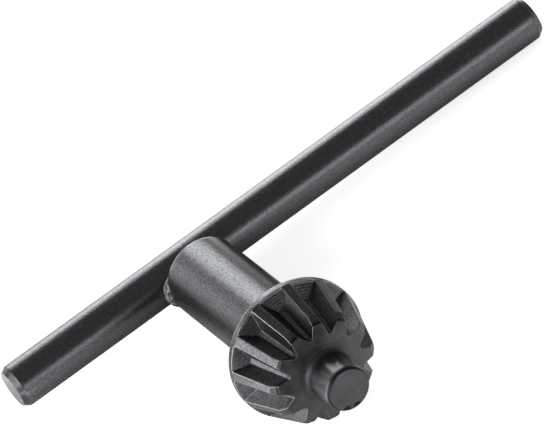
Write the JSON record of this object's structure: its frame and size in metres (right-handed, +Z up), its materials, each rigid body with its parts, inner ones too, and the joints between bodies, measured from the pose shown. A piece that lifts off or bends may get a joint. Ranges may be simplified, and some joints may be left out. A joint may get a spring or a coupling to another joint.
{
  "type": "drill chuck key",
  "caption": "Drill chuck key: an off-centre round crossbar welded to a shank that ends in a bevel pinion with a rim behind its teeth and a plain pilot pin.",
  "frame": {"origin": "middle of the bounding box in X and Y, on the surface that the key lies on", "axes": "+X along the crossbar towards its long arm, +Y from the pinion back towards the crossbar, +Z up; the pilot points towards -Y and rises a little"},
  "size_m": [0.1102, 0.0596, 0.0241],
  "materials": {
    "bar_steel": "drawn round bar, black oxide, satin",
    "pinion_steel": "turned and milled, black oxide, satin"
  },
  "bodies": {
    "root": {"crossbar": "bar_steel", "pinion": "pinion_steel"}
  },
  "joints": []
}
